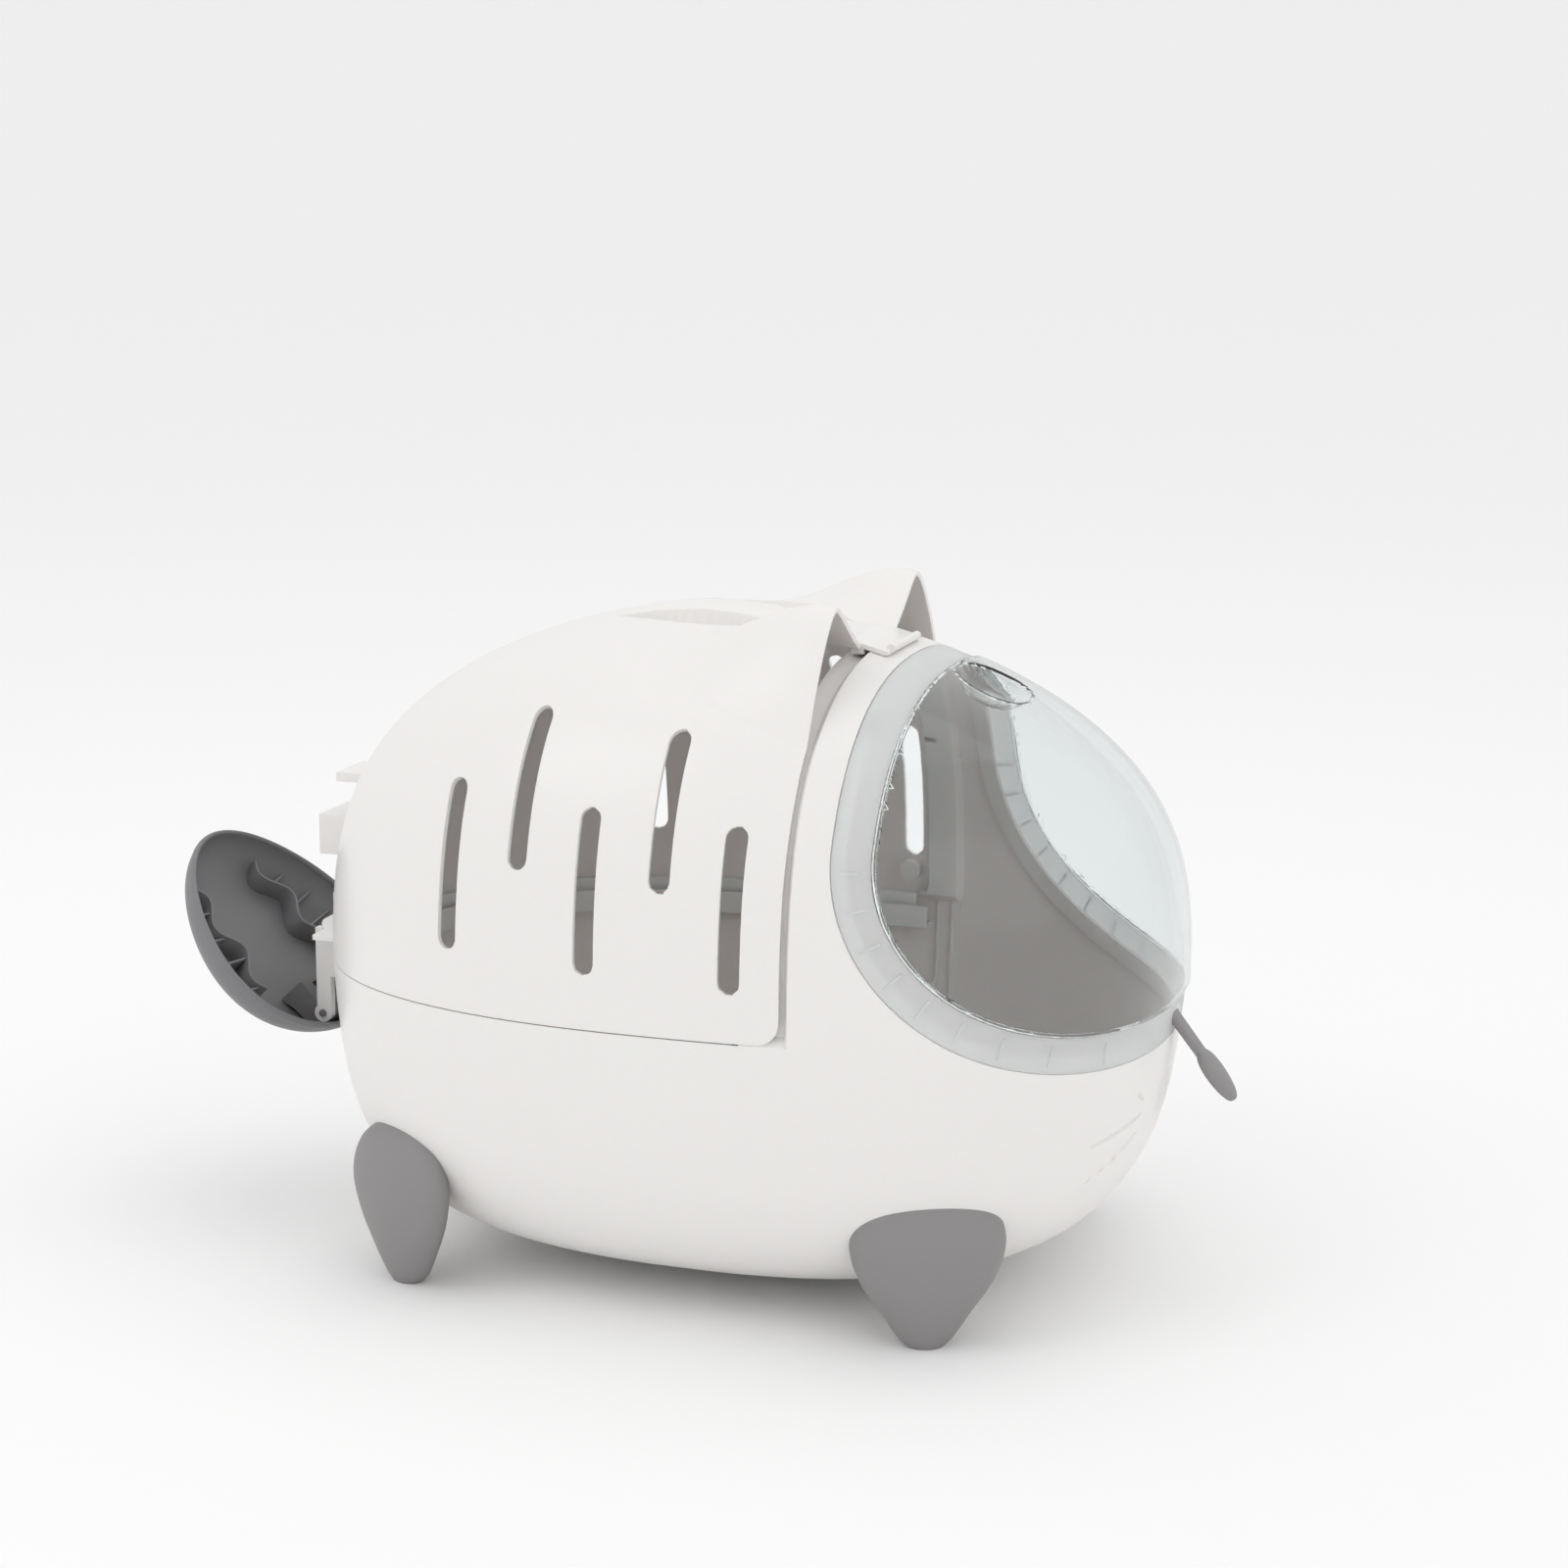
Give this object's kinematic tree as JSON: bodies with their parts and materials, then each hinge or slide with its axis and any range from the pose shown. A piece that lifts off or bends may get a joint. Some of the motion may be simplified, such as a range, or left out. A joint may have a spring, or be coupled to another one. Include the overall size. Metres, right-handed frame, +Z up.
{
  "type": "hooded cat litter box",
  "caption": "Cat-shaped hooded litter box: footed tub with face cowl, lift-off vented hood with ears, clear domed visor with nose pull and hinged tail dish.",
  "frame": {"origin": "on the floor, under the middle of the whole object with the tail open", "axes": "+X to the cat's face, +Z up, +Y to the cat's left"},
  "size_m": [0.6936, 0.3904, 0.4222],
  "materials": {
    "white_plastic": "satin moulded polypropylene, warm white",
    "paw_grey": "fine matt moulded plastic, mid grey",
    "tail_grey": "matt moulded plastic, dark grey",
    "nose_grey": "matt moulded plastic, grey",
    "clear_plastic": "clear polished plastic",
    "frosted_plastic": "lightly frosted clear plastic"
  },
  "bodies": {
    "base": {"base_tub": "white_plastic", "tail_bracket": "white_plastic", "tail_pin": "tail_grey", "paw_front_left": "paw_grey", "paw_front_right": "paw_grey", "paw_rear_left": "paw_grey", "paw_rear_right": "paw_grey"},
    "hood_carrier": {"hood_hook": "white_plastic"},
    "hood": {"hood_shell": "white_plastic", "hood_catch": "white_plastic", "hood_tongue": "white_plastic", "hood_rear_lug": "white_plastic", "hood_boss_left": "white_plastic", "hood_boss_right": "white_plastic"},
    "visor": {"visor_dome": "clear_plastic", "visor_rim": "frosted_plastic", "visor_hook_left": "clear_plastic", "visor_hook_right": "clear_plastic", "visor_prong_left": "clear_plastic", "visor_prong_right": "clear_plastic", "nose_pull": "nose_grey"},
    "tail": {"tail_dish": "tail_grey", "tail_clip": "tail_grey"}
  },
  "joints": [
    {"name": "hood_lift", "type": "slide", "parent": "base", "child": "hood_carrier", "axis": [0, 0, 1], "range_m": [0, 0.24]},
    {"name": "hood_tilt", "type": "hinge", "parent": "hood_carrier", "child": "hood", "pos_m": [0.1349, 0, 0.3912], "axis": [0, 1, 0], "range_deg": [0, 25]},
    {"name": "visor_pull", "type": "slide", "parent": "base", "child": "visor", "axis": [0.9397, 0, 0.3419], "range_m": [0, 0.22]},
    {"name": "tail_hinge", "type": "hinge", "parent": "base", "child": "tail", "pos_m": [-0.2451, 0, 0.132], "axis": [0, 1, 0], "range_deg": [0, 36]}
  ]
}
